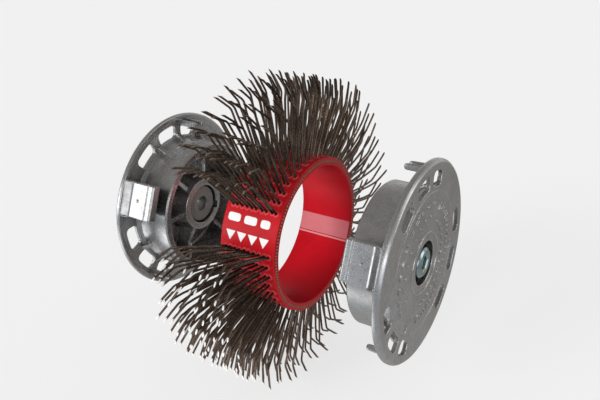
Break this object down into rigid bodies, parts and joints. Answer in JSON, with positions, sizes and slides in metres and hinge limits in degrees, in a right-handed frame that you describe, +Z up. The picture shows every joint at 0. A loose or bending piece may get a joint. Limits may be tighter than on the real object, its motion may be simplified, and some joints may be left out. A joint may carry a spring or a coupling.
{
  "type": "rotary wire belt brush",
  "caption": "Rotary brush for cleaning and roughening metal: a plastic belt of bent wire bristles and the two cast hub halves that clamp it, laid out apart along the axis.",
  "frame": {"origin": "on the brush axis, midway between the two ends of the laid-out set", "axes": "+X along the brush axis from the inner, machine-side hub half to the outer hub half, +Z up, -Y towards the front, with the clamp lugs and the bare window of the belt 20 degrees above -Y"},
  "size_m": [0.1124, 0.1151, 0.1149],
  "materials": {
    "cast_aluminium": "satin die cast, bright where worn",
    "bush_steel": "turned",
    "zinc_plated_steel": "blue zinc plate",
    "red_plastic": "semi-gloss moulded plastic",
    "woven_ply": "cut edge of a woven reinforcing ply",
    "splice_strip": "pale heat-pressed strip",
    "bristle_wire": "drawn hardened wire, darkened, bright cut ends"
  },
  "bodies": {
    "inner_hub": {"inner_hub_casting": "cast_aluminium", "drive_bush": "bush_steel"},
    "belt": {"belt_outer_ply": "red_plastic", "belt_woven_ply": "woven_ply", "belt_inner_ply": "red_plastic", "belt_splice_strip": "splice_strip", "wire_row_01": "bristle_wire", "wire_row_02": "bristle_wire", "wire_row_03": "bristle_wire", "wire_row_04": "bristle_wire", "wire_row_05": "bristle_wire", "wire_row_06": "bristle_wire", "wire_row_07": "bristle_wire", "wire_row_08": "bristle_wire", "wire_row_09": "bristle_wire", "wire_row_10": "bristle_wire", "wire_row_11": "bristle_wire", "wire_row_12": "bristle_wire", "wire_row_13": "bristle_wire", "wire_row_14": "bristle_wire", "wire_row_15": "bristle_wire", "wire_row_16": "bristle_wire", "wire_row_17": "bristle_wire", "wire_row_18": "bristle_wire", "wire_row_19": "bristle_wire", "wire_row_20": "bristle_wire", "wire_row_21": "bristle_wire", "wire_row_22": "bristle_wire", "wire_row_23": "bristle_wire", "wire_row_24": "bristle_wire", "wire_row_25": "bristle_wire", "wire_row_26": "bristle_wire", "wire_row_27": "bristle_wire", "wire_row_28": "bristle_wire", "wire_row_29": "bristle_wire", "wire_row_30": "bristle_wire", "wire_row_31": "bristle_wire", "wire_row_32": "bristle_wire", "wire_row_33": "bristle_wire", "wire_row_34": "bristle_wire", "wire_row_35": "bristle_wire", "wire_row_36": "bristle_wire", "wire_row_37": "bristle_wire", "wire_row_38": "bristle_wire", "wire_row_39": "bristle_wire", "wire_row_40": "bristle_wire", "wire_row_41": "bristle_wire", "wire_row_42": "bristle_wire", "wire_row_43": "bristle_wire", "wire_row_44": "bristle_wire", "wire_row_45": "bristle_wire"},
    "outer_hub": {"outer_hub_casting": "cast_aluminium"},
    "washer": {"cup_washer": "zinc_plated_steel"},
    "screw": {"clamp_screw": "zinc_plated_steel"}
  },
  "joints": [
    {"name": "belt_slide", "type": "slide", "parent": "inner_hub", "child": "belt", "axis": [-1, 0, 0], "range_m": [0, 0.04015]},
    {"name": "outer_hub_slide", "type": "slide", "parent": "belt", "child": "outer_hub", "axis": [-1, 0, 0], "range_m": [0, 0.0371]},
    {"name": "screw_withdraw", "type": "slide", "parent": "outer_hub", "child": "washer", "axis": [1, 0, 0], "range_m": [0, 0.03]},
    {"name": "screw_turn", "type": "hinge", "parent": "washer", "child": "screw", "pos_m": [0.054, 0, 0], "axis": [1, 0, 0], "continuous": true}
  ]
}
